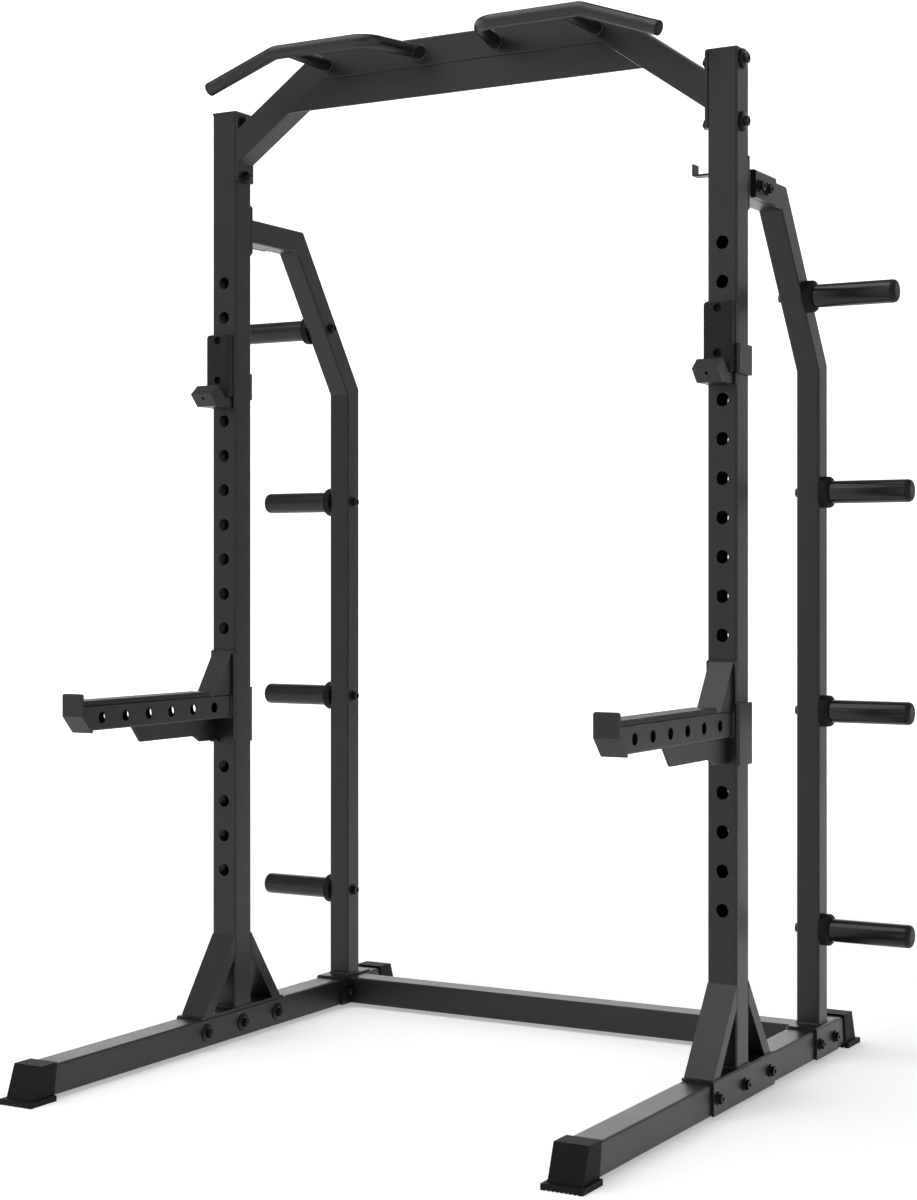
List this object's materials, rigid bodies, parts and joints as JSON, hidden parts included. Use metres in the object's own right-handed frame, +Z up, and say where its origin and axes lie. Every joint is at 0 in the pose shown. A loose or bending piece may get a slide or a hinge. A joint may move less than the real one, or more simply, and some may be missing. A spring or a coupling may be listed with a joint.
{
  "type": "half rack",
  "caption": "Free-standing black half rack: uprights with hole rows, angled pull-up beam with bent handles, swinging J-hooks and safety arms, and plate storage pegs.",
  "frame": {"origin": "on the floor, midway between the uprights and midway between the front and rear feet", "axes": "+X across the rack towards the upright with the accessory hanger, +Y from the open front to the storage posts at the rear, +Z up"},
  "size_m": [1.596, 1.364, 2.12],
  "materials": {
    "powder_coat": "matte black powder coat",
    "grip_steel": "knurled, matte black",
    "peg_steel": "satin black",
    "pin_steel": "satin black",
    "rubber_parts": "matte moulded rubber",
    "plastic_parts": "fine-grained black plastic",
    "black_fasteners": "black oxide"
  },
  "bodies": {
    "frame": {"base_rail_right": "powder_coat", "base_rail_left": "powder_coat", "foot_front_right": "rubber_parts", "foot_front_left": "rubber_parts", "foot_rear_right": "rubber_parts", "foot_rear_left": "rubber_parts", "upright_right": "powder_coat", "upright_left": "powder_coat", "upright_bracket_right": "powder_coat", "upright_bracket_left": "powder_coat", "rear_post_right": "powder_coat", "rear_post_left": "powder_coat", "rear_slant_right": "powder_coat", "rear_slant_left": "powder_coat", "rear_top_right": "powder_coat", "rear_top_left": "powder_coat", "top_clamp_right": "powder_coat", "top_clamp_left": "powder_coat", "beam_leg_right": "powder_coat", "beam_leg_left": "powder_coat", "beam_end_plate_right": "powder_coat", "beam_end_plate_left": "powder_coat", "handle_right": "grip_steel", "handle_left": "grip_steel", "storage_pegs_right": "peg_steel", "storage_pegs_left": "peg_steel", "rear_crossmember": "powder_coat", "upright_braces": "powder_coat", "rear_brackets": "powder_coat", "beam_tube": "powder_coat", "beam_panel": "powder_coat", "accessory_hanger": "powder_coat", "handle_stubs": "powder_coat", "handle_caps": "plastic_parts", "peg_collars": "rubber_parts", "peg_caps": "plastic_parts", "bracket_bolts": "black_fasteners", "beam_bolts": "black_fasteners", "clamp_bolts": "black_fasteners", "peg_bolts": "black_fasteners"},
    "j_hook_right": {"hook_body_right": "powder_coat", "hook_pin_right": "pin_steel", "hook_pad_right": "plastic_parts", "hook_screws_right": "black_fasteners"},
    "safety_arm_right": {"arm_bracket_right": "powder_coat", "arm_pin_right": "pin_steel", "arm_tube_right": "powder_coat", "arm_keel_right": "powder_coat", "arm_pad_right": "plastic_parts", "arm_stop_right": "powder_coat"},
    "j_hook_left": {"hook_body_left": "powder_coat", "hook_pin_left": "pin_steel", "hook_pad_left": "plastic_parts", "hook_screws_left": "black_fasteners"},
    "safety_arm_left": {"arm_bracket_left": "powder_coat", "arm_pin_left": "pin_steel", "arm_tube_left": "powder_coat", "arm_keel_left": "powder_coat", "arm_pad_left": "plastic_parts", "arm_stop_left": "powder_coat"}
  },
  "joints": [
    {"name": "j_hook_right_swing", "type": "hinge", "parent": "frame", "child": "j_hook_right", "pos_m": [0.581, 0.03, 1.497], "axis": [0, -1, 0], "range_deg": [0, 90]},
    {"name": "safety_arm_right_swing", "type": "hinge", "parent": "frame", "child": "safety_arm_right", "pos_m": [0.581, 0.03, 0.822], "axis": [0, -1, 0], "range_deg": [0, 90]},
    {"name": "j_hook_left_swing", "type": "hinge", "parent": "frame", "child": "j_hook_left", "pos_m": [-0.581, 0.03, 1.497], "axis": [0, 1, 0], "range_deg": [0, 90]},
    {"name": "safety_arm_left_swing", "type": "hinge", "parent": "frame", "child": "safety_arm_left", "pos_m": [-0.581, 0.03, 0.822], "axis": [0, 1, 0], "range_deg": [0, 90]}
  ]
}
